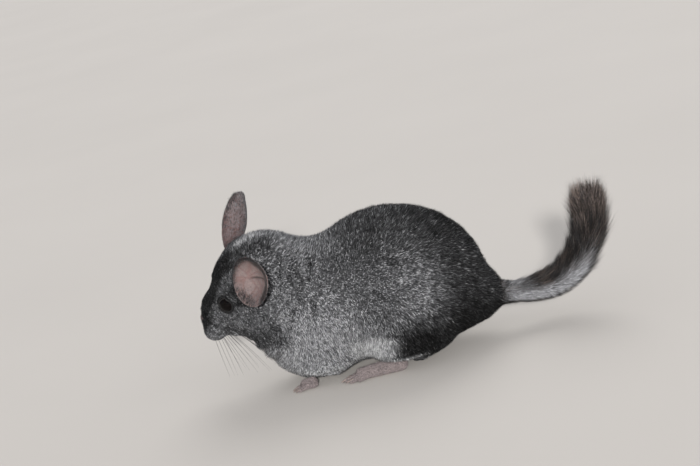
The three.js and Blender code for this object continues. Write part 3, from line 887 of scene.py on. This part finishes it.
class ANIMAL_OT_tail(bpy.types.Operator):
    """The tail's coat: short and grey below near its root, long and black above and in the brush"""

    bl_idname = "animal.tail"
    bl_label = "Tail coat"

    def execute(self, context):
        sizes = context.scene.animal_sizes
        colours = context.scene.animal_colours
        rng = np.random.default_rng(SEED + 1)
        count = sizes.brush_hairs
        start = rng.uniform(-0.05, 0.88, count)
        turn = rng.uniform(0, 2 * math.pi, count)
        top = ramp(0.0, 0.55, np.sin(turn)) * ramp(0.02, 0.14, start)
        brush = ramp(0.36, 0.6, start)
        long = np.maximum(0.8 * top, brush)

        # Long hairs gather in locks: each hair leans to the tip of the lock whose middle is nearest its root
        locks = TAIL_LOCKS
        middle_start = rng.uniform(0.03, 0.88, locks)
        middle_turn = rng.uniform(0, 2 * math.pi, locks)
        apart = np.abs(wrapped(turn[:, None] - middle_turn)) * 7
        mine = np.hypot(apart, (start[:, None] - middle_start) * TAIL_SPAN).argmin(1)
        lock_long = (21 + 17 * ramp(0.3, 0.7, middle_start)) * rng.uniform(0.75, 1.15, locks)
        lock_end = np.minimum(middle_start + lock_long / TAIL_SPAN, rng.uniform(0.86, 1.045, locks))
        lock_reach = rng.uniform(0.3, 1.0, locks) ** 0.5 * 1.14
        lock_turn = middle_turn + rng.normal(0, 0.22, locks)

        hair = (6.5 + 26 * long + 8 * ramp(0.6, 0.86, start)) * rng.uniform(0.6, 1.1, count)
        own_end = start + hair / TAIL_SPAN
        gathered = rng.choice([0.88, 0.7, 0.15], count, p=[0.5, 0.3, 0.2]) * long
        end = own_end + (lock_end[mine] + rng.normal(0, 0.03, count) - own_end) * gathered
        end = np.minimum(end, rng.uniform(0.9, 1.05, count))
        swing = wrapped(lock_turn[mine] - turn)
        flyaway = (rng.random(count) < 0.25) * long * ramp(0.3, 0.6, start)
        bend = swing * gathered + rng.normal(0, 0.12, count) * (1 + 1.5 * flyaway)
        loose = np.where(long > 0.3, rng.uniform(0.5, 1.2, count), rng.uniform(0.93, 1.0, count))
        spread = loose + (lock_reach[mine] - loose) * gathered
        reach = tail_coat_radius(end) * spread * (1 + flyaway * rng.uniform(0.02, 0.42, count))
        sunk = tail_core_radius(start) * 0.8
        rings = []
        for share, width in ((0.0, 0.5), (0.55, 0.27)):
            out = sunk + (reach - sunk) * share**0.75
            centres, way, offset = on_tail(start + (end - start) * share, turn + bend * share**1.4, out)
            rings.append(rings_round(centres, way, offset, np.full(count, width * MM)))
        tips = on_tail(end, turn + bend, reach)[0]

        # A pale band along each side near the root, and hairs with brown ends, most of all at the tip
        faded = ramp(-0.02, 0.09, start + rng.normal(0, 0.02, count))
        band = (1 - top) * ramp(0.54, 0.42, start) * ramp(-0.82, -0.64, np.sin(turn)) * faded
        tone = 0.03 + 0.9 * band * rng.uniform(0.5, 1.3, count)
        base = blend(np.array(colours.black), np.array(colours.grey), tone[:, None])
        lively = rng.normal(-0.1, 0.5, count) + rng.normal(0, 0.6, locks)[mine] * long
        ends = (0.3 + 0.9 * ramp(0.78, 1.0, end)) * (1 - band) * rng.random(count) ** 3
        ends *= (0.3 + 1.5 * rng.random(locks) ** 2)[mine]
        brown = np.array([0.585, 0.45, 0.3825])
        tip_colours = base * np.exp(lively)[:, None] + brown * ends[:, None]
        spots = on_map(turn / (2 * math.pi), (start + 0.05) / 0.93)
        finish = coat_finish("brush coat", roughness=0.6)
        rings = np.array(rings)
        for name, chosen, replaced in (
            ("tail_coat", start < 0.4, ()),
            ("tail_brush_coat", start >= 0.4, ("tail_brush",)),
        ):
            paints = base[chosen] * 0.6, tip_colours[chosen]
            mesh = tuft_mesh(name, rings[:, chosen], tips[chosen], *paints, spots[chosen])
            to_piece(name, mesh, finish, "coat", *replaced)
        return {"FINISHED"}


class ANIMAL_OT_eyes(bpy.types.Operator):
    """Round dark eyes and the bare lids round them"""

    bl_idname = "animal.eyes"
    bl_label = "Eyes and lids"

    def execute(self, context):
        eye = eye_finish(context.scene.animal_colours.eye_brown)
        rim = wet_skin_finish("eyelid", (0.004, 0.0035, 0.0035), (0.014, 0.012, 0.011))
        for word, side in SIDES.items():
            bm = bmesh.new()
            seat = Matrix.Translation(EYES[side])
            bmesh.ops.create_uvsphere(bm, u_segments=48, v_segments=32, radius=EYE_RADIUS, matrix=seat)
            ball = mesh_from(bm, f"eye_{word}_ball")
            ball.shade_smooth()
            to_piece(f"eyeball_{word}", ball, eye, "eye", f"eye_{word}")

            # The lids' edge lies on the ball, drawn out to a corner at either end
            out = head_way(LIDS_WAY.x, side * LIDS_WAY.y, LIDS_WAY.z)
            lid_up = head_way(-0.12, 0, 1)
            up = (lid_up - out * out.dot(lid_up)).normalized()
            along = up.cross(out)
            ring, radii = [], []
            for angle in np.arange(24) * 2 * math.pi / 24:
                corner = abs(math.cos(angle)) ** 3
                tall = LID_TALL - LID_PINCH * corner
                flat = along * math.cos(angle) * LID_LONG + up * math.sin(angle) * tall
                lift = math.sqrt(max((EYE_RADIUS / MM + 0.25) ** 2 - flat.length_squared, 1))
                ring.append(EYES[side] + (flat + out * lift) * MM)
                radii.append(0.35 + 0.1 * max(math.sin(angle), 0) + 0.25 * corner)
            lid = tube(f"lid {word}", ring, radii, closed=True, sides=3)
            lid.shade_smooth()
            to_piece(f"eyelids_{word}", lid, rim, "ear_skin")
        return {"FINISHED"}


class ANIMAL_OT_ears(bpy.types.Operator):
    """Thin cupped ears with soft rims, and the down on them"""

    bl_idname = "animal.ears"
    bl_label = "Ears"

    def execute(self, context):
        colours = context.scene.animal_colours
        finish = ear_finish()
        down = coat_finish("ear down")
        for number, (word, side) in enumerate(SIDES.items()):
            ear = remeshed(node_copy(f"ear_{word}", 0.15), EAR_VOXEL)
            relaxed(ear, np.full(len(ear.vertices), 0.5), 8)
            root = in_head(EAR_ROOT[0], side * EAR_ROOT[1], EAR_ROOT[2])
            up = (in_head(EAR_TIP[0], side * EAR_TIP[1], EAR_TIP[2]) - root).normalized()
            rear = (up.cross(head_way(EAR_OPENS[0], side * EAR_OPENS[1], EAR_OPENS[2])) * side).normalized()
            opens = up.cross(rear).normalized() * -side
            up, rear, opens = np.array(up), np.array(rear), np.array(opens)

            def spots_of(points):
                """The share of the ear's length and half width, and how far out and round the rim that is."""
                offset = (points - np.array(root)) / MM
                climb = offset @ up / EAR_LENGTH
                across = offset @ rear / (EAR_WIDTH / 2)
                return climb, across, np.hypot(2 * climb - 1, across), np.arctan2(2 * climb - 1, across)

            places, normals, corners = arrays_of(ear)
            climb, across, rim, turn = spots_of(places)
            p = to_animal(places)
            fold = np.exp(-(((2 * climb - 1 - 0.78 * across) / 0.06) ** 2))
            fold *= ramp(-0.35, -0.1, across) * ramp(0.7, 0.5, across)
            inwards = opens - rear * (1.2 * across)[:, None]
            inner = ramp(-0.15, 0.35, (normals * unit(inwards)).sum(1))
            places -= opens * (1.0 * fold * inner * MM)[:, None]
            move_to(ear, places)

            # The cup's skin is dark along the front and pale in its middle, with a painted shadow under the
            # rolled rear edge and painted shade in the fold
            shadow = ramp(0.52, 0.76, rim) * ramp(1.03, 0.96, rim)
            shadow *= ramp(-0.7, -0.1, turn) * ramp(2.3, 1.7, turn)
            front = ramp(0.68, 0.95, rim) * np.maximum(ramp(1.6, 2.1, turn), ramp(-2.2, -2.7, turn))
            middle = np.exp(-(((across + 0.3) ** 2 + (2 * climb - 0.95) ** 2) / 0.2))
            cup = (0.92 + 0.3 * middle + 0.12 * waves(p, 12, 41)) * (1 - 0.65 * fold)
            cup *= (1 - 0.9 * shadow) * (1 - 0.8 * np.clip(front, 0, 1))
            inner_tone = np.array(colours.ear_inside) * cup[:, None]
            outer_tone = np.array(colours.ear_outside) * (1 + 0.1 * waves(p, 8, 42))[:, None]
            outer_tone *= np.stack([1.15 - 0.15 * climb, 0.95 + 0.05 * climb, 0.95 + 0.05 * climb], 1)
            edge = ramp(0.95, 1.04, rim) * ramp(-0.9, -0.4, turn) * ramp(2.0, 1.4, turn)
            # The painted shadow under the rolled rear edge darkens the cup once more
            light = (1 - 0.75 * shadow * inner) * (1 + 0.45 * edge)
            tone = blend(outer_tone, inner_tone, inner[:, None]) * light[:, None]
            painted(ear, "skin", np.clip(tone, 0, 1))
            ear.shade_smooth()
            to_piece(f"ear_{word}_skin", ear, finish, "ear_skin", f"ear_{word}")

            # Down: dense on the back, along the front edge and at the root, and sparse in the cup
            rng = np.random.default_rng(SEED + 2 + number)
            roots, ups = scattered(places, normals, corners, EAR_HAIRS, rng, lambda m: np.ones(len(m)))
            climb, across, rim, turn = spots_of(roots)
            fringe = np.maximum(ramp(0.75, 0.95, rim) * ramp(0.1, -0.3, across), ramp(0.25, 0.05, climb))
            keep = rng.random(len(roots)) < np.where(ups @ opens > 0.2, 0.08 + 0.9 * fringe, 0.6)
            roots, ups, fringe = roots[keep], ups[keep], fringe[keep]
            count = len(roots)
            ways = unit(up + rng.normal(0, 0.25, roots.shape))
            lengths = rng.uniform(0.8, 1.7, count) * (1 + 1.2 * fringe)
            grey = np.array(colours.grey) * (rng.uniform(0.1, 1.0, count) ** 2 * (1 - 0.7 * fringe))[:, None]
            widths, lift = rng.uniform(0.14, 0.26, count), rng.uniform(0.1, 0.35, count)
            mesh = short_tufts(
                f"ear_{word}_down", roots, ups, ways, lengths * MM, widths * MM, lift,
                grey * 0.7, grey, unwrap(roots, root, up, opens),
            )
            to_piece(f"ear_{word}_down", mesh, down, "coat")
        return {"FINISHED"}


def toe_tips(side, hind):
    """Where each claw starts, in the animal's frame, from the feet of the solids."""
    if hind:
        y = side * HIND_STANCE
        return [Vector((HEEL - HIND_FOOT_LENGTH + 6 + abs(n) * 3.5, y + n * 4.2, 3.2)) for n in (-1, 0, 1)]
    y = side * FORE_STANCE
    toes = (-1.5, -0.5, 0.5, 1.5)
    return [Vector((WRIST - FORE_PAW_LENGTH + 3 + abs(n) * 1.8, y + n * 3, 2.4)) for n in toes]


class ANIMAL_OT_feet(bpy.types.Operator):
    """Feet and paws with their fine down and blunt claws"""

    bl_idname = "animal.feet"
    bl_label = "Feet and claws"

    def execute(self, context):
        colours = context.scene.animal_colours
        skin = skin_finish("foot skin", "skin")
        down = coat_finish("foot down")
        horn = horn_finish("claw", (0.1, 0.075, 0.065), (0.3, 0.24, 0.21))
        for number, (node, (side, hind)) in enumerate(FEET.items()):
            foot = remeshed(node_copy(node), FOOT_VOXEL)
            relaxed(foot, np.full(len(foot.vertices), 0.5), 3)
            places, normals, corners = arrays_of(foot)
            low = (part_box(node)[0].z - places[:, 2].min()) * ramp(2.5 * MM, 0, places[:, 2])
            places[:, 2] += low
            move_to(foot, places)
            p = to_animal(places)
            pink = np.array(colours.foot) * (1 + 0.16 * waves(p, 7, 51))[:, None]
            painted(foot, "skin", np.clip(pink, 0, 1))
            foot.shade_smooth()
            to_piece(f"{node}_skin", foot, skin, "foot_skin", node)
            rng = np.random.default_rng(SEED + 10 + number)
            count = HIND_FOOT_HAIRS if hind else FORE_PAW_HAIRS

            def off_sole(middles):
                return ramp(0.6 * MM, 2.4 * MM, middles[:, 2])

            roots, ups = scattered(places, normals, corners, count, rng, off_sole)
            ways = unit(np.array([-1.0, 0, -0.12]) + rng.normal(0, 0.2, roots.shape))
            white = np.array(colours.foot) * [1.1, 1.14, 1.18] * rng.uniform(0.6, 1.25, count)[:, None]
            lengths, widths = rng.uniform(0.9, 1.9, count), rng.uniform(0.18, 0.34, count)
            lift = rng.uniform(0.15, 0.45, count)
            mesh = short_tufts(
                f"{node}_down", roots, ups, ways, lengths * MM, widths * MM, lift,
                white * 0.75, np.clip(white, 0, 0.85), unwrap(roots, middle_of(node), FORWARD, SIDEWAYS),
            )
            to_piece(f"{node}_down", mesh, down, "foot_skin")
            claws = []
            long, radii = (5.2, [1.1, 0.85, 0.18]) if hind else (3.4, [0.75, 0.6, 0.15])
            for tip in toe_tips(side, hind):
                line = [tip + Vector(way) for way in ((1.5, 0, 0.2), (-long * 0.5, 0, 0.1), (-long, 0, -1.6))]
                claws.append(tube("claw", [place(*q) for q in line], radii))
            mesh = joined(claws)
            mesh.shade_smooth()
            to_piece(f"{node}_claws", mesh, horn, "foot_skin")
        return {"FINISHED"}


def skin_tree():
    """The skin as a tree that rays can meet."""
    skin = bpy.data.objects["skin"].data
    return BVHTree.FromPolygons([v.co for v in skin.vertices], [f.vertices for f in skin.polygons])


class ANIMAL_OT_muzzle(bpy.types.Operator):
    """Nose pad with its nostrils, the split lip and the line of the mouth"""

    bl_idname = "animal.muzzle"
    bl_label = "Nose and mouth"

    def execute(self, context):
        tree = skin_tree()
        centre = in_head(20, 0, -10)

        def on_skin(x, y, z, out=0.0):
            """Where the skin lies along a way from the muzzle's middle, and some millimetres out of it."""
            way = head_way(x, y, z)
            return tree.ray_cast(centre + way * 60 * MM, -way)[0] + way * out * MM

        nose_skin = wet_skin_finish("nose", (0.035, 0.026, 0.026), (0.1, 0.07, 0.068))
        lip_skin = wet_skin_finish("lip", (0.03, 0.018, 0.018), (0.085, 0.05, 0.05))
        bm = bmesh.new()
        bmesh.ops.create_uvsphere(bm, u_segments=40, v_segments=28, radius=1)
        for vert in bm.verts:
            x, y, z = vert.co
            side = 1 if y >= 0 else -1
            comma = math.exp(-(((side * y - 0.5 - 0.25 * z) / 0.2) ** 2) - ((z - 0.05) / 0.32) ** 2)
            split = math.exp(-((y / 0.1) ** 2)) * (0.5 - 0.5 * z)
            depth = (1.1 * comma + 0.25 * split) * max(x, 0)
            vert.co = Vector((x * 1.7 - depth, y * (3.4 - 0.5 * (1 - z)), z * 2.3)) * MM
        bm.transform(Matrix.Translation(on_skin(1, 0, 0.3, -0.6)) @ HEAD_TURN.to_4x4())
        bmesh.ops.recalc_face_normals(bm, faces=bm.faces)
        pad = mesh_from(bm, "nose")
        pad.shade_smooth()
        to_piece("nose_pad", pad, nose_skin, "ear_skin")
        cleft = [on_skin(1, 0, z, 0.15) for z in (0.1, -0.15, -0.4, -0.65)]
        upper = [on_skin(0.75 - 0.45 * abs(y), y, -0.85, 0.1) for y in np.linspace(-0.7, 0.7, 9)]
        lower = [on_skin(0.62 - 0.45 * abs(y), y, -0.95, 0.25) for y in np.linspace(-0.6, 0.6, 9)]
        lines = [
            tube("cleft", cleft, [0.5, 0.45, 0.45, 0.4]),
            tube("upper lip", upper, [0.3, 0.45, 0.55, 0.6, 0.6, 0.6, 0.55, 0.45, 0.3]),
            tube("lower lip", lower, [0.3, 0.6, 0.8, 0.9, 0.95, 0.9, 0.8, 0.6, 0.3]),
        ]
        mesh = joined(lines)
        mesh.shade_smooth()
        to_piece("lips", mesh, lip_skin, "ear_skin")
        return {"FINISHED"}


class ANIMAL_OT_whiskers(bpy.types.Operator):
    """Long dark whiskers that sweep out and down from the pads"""

    bl_idname = "animal.whiskers"
    bl_label = "Whiskers"

    def execute(self, context):
        count = context.scene.animal_sizes.whiskers
        tree = skin_tree()
        rng = np.random.default_rng(SEED + 20)
        centre = in_head(24, 0, -14)
        hairs = []
        for side in (LEFT, RIGHT):
            for k in range(count):
                row, column = divmod(k, 4)
                way = head_way(0.6 - 0.22 * column, side * (0.8 + 0.1 * row), 0.15 - 0.3 * row)
                root = tree.ray_cast(centre + way * 60 * MM, -way)[0]
                long = (24 + 6 * column + 10 * rng.random()) * MM
                out = (way * 0.7 + head_way(-0.1 - 0.25 * column, side * 0.2, -0.9)).normalized()
                droop = Vector((0.25 - 0.35 * rng.random(), 0, -1)) * (0.3 + 0.3 * rng.random())
                line = [root - out * MM]
                line += [root + out * long * t + droop * long * t * t * 0.5 for t in (0.25, 0.5, 0.75, 1.0)]
                line = [Vector((q.x, q.y, max(q.z, 3 * MM))) for q in line]
                hairs.append(tube("whisker", line, [0.17, 0.16, 0.13, 0.09, 0.03], sides=0))
        horn = horn_finish("whisker", (0.006, 0.005, 0.005), (0.02, 0.018, 0.018))
        to_piece("whiskers", joined(hairs), horn, "coat")
        return {"FINISHED"}


# The camera's height and roll, as estimated from the photograph
CAMERA_RISE = math.radians(17)
CAMERA_ROLL = math.radians(14)
CAMERA_REACH = 1.25
PICTURE = (700, 466)
TARGET_PIXEL = (330, 300)  # where the camera's axis meets the picture
PIXELS_PER_METRE = 1000 / 0.81  # at the target
SENSOR = 36.0


class ANIMAL_OT_stage(bpy.types.Operator):
    """A plain pale floor, soft frontal light and the camera"""

    bl_idname = "animal.stage"
    bl_label = "Stage"

    def execute(self, context):
        scene = context.scene
        bm = bmesh.new()
        bmesh.ops.create_grid(bm, x_segments=4, y_segments=4, size=40.0)
        mesh = mesh_from(bm, "floor")
        mesh.materials.append(floor_finish(scene.animal_colours.floor))
        linked("floor", mesh)
        world = bpy.data.worlds.new("studio")
        world.use_nodes = True
        sky = world.node_tree.nodes["Background"].inputs
        sky["Color"].default_value = (0.93, 0.95, 1.0, 1)
        sky["Strength"].default_value = 0.5
        scene.world = world
        scene.view_settings.view_transform = "Standard"
        target = place(0, 0, 60)
        for name, where, power, degrees in (
            ("key", (-0.13, -1.3, 0.52), 3.6, 5),
            ("fill", (0.9, -0.8, 0.4), 0.5, 60),
            ("back", (0.3, 1.1, 1.3), 0.9, 40),
        ):
            light = bpy.data.lights.new(name, "SUN")
            light.energy = power
            light.angle = math.radians(degrees)
            lamp = linked(name, light)
            lamp.location = Vector(where)
            lamp.rotation_euler = (target - lamp.location).to_track_quat("-Z", "Y").to_euler()
        back = Vector((0, -math.cos(CAMERA_RISE), math.sin(CAMERA_RISE)))
        above = back.cross(FORWARD)
        right = FORWARD * math.cos(CAMERA_ROLL) - above * math.sin(CAMERA_ROLL)
        up = FORWARD * math.sin(CAMERA_ROLL) + above * math.cos(CAMERA_ROLL)
        data = bpy.data.cameras.new("camera")
        data.sensor_width = SENSOR
        data.lens = PIXELS_PER_METRE * CAMERA_REACH * SENSOR / PICTURE[0]
        data.shift_x = (PICTURE[0] / 2 - TARGET_PIXEL[0]) / PICTURE[0]
        data.shift_y = (TARGET_PIXEL[1] - PICTURE[1] / 2) / PICTURE[0]
        camera = linked("camera", data)
        turn = Matrix((right, up, back)).transposed()
        camera.matrix_world = Matrix.Translation(target + back * CAMERA_REACH) @ turn.to_4x4()
        scene.camera = camera
        return {"FINISHED"}


OPERATORS = (
    ANIMAL_OT_stage,
    ANIMAL_OT_skin,
    ANIMAL_OT_eyes,
    ANIMAL_OT_ears,
    ANIMAL_OT_feet,
    ANIMAL_OT_muzzle,
    ANIMAL_OT_whiskers,
    ANIMAL_OT_coat,
    ANIMAL_OT_tail,
)


class ANIMAL_PT_panel(bpy.types.Panel):
    """Lists the animal's pieces"""

    bl_label = "Chinchilla"
    bl_space_type = "VIEW_3D"
    bl_region_type = "UI"
    bl_category = "Chinchilla"

    def draw(self, context):
        for group in (context.scene.animal_sizes, context.scene.animal_colours):
            for name in group.__annotations__:
                self.layout.prop(group, name)
        for operator in OPERATORS:
            self.layout.operator(operator.bl_idname)


CLASSES = (AnimalSizes, AnimalColours, *OPERATORS, ANIMAL_PT_panel)


def register():
    for cls in CLASSES:
        bpy.utils.register_class(cls)
    bpy.types.Scene.animal_sizes = bpy.props.PointerProperty(type=AnimalSizes)
    bpy.types.Scene.animal_colours = bpy.props.PointerProperty(type=AnimalColours)


def unregister():
    del bpy.types.Scene.animal_colours
    del bpy.types.Scene.animal_sizes
    for cls in reversed(CLASSES):
        bpy.utils.unregister_class(cls)


def main():
    register()
    for operator in OPERATORS:
        group, name = operator.bl_idname.split(".")
        getattr(getattr(bpy.ops, group), name)()


if __name__ == "__main__":
    main()
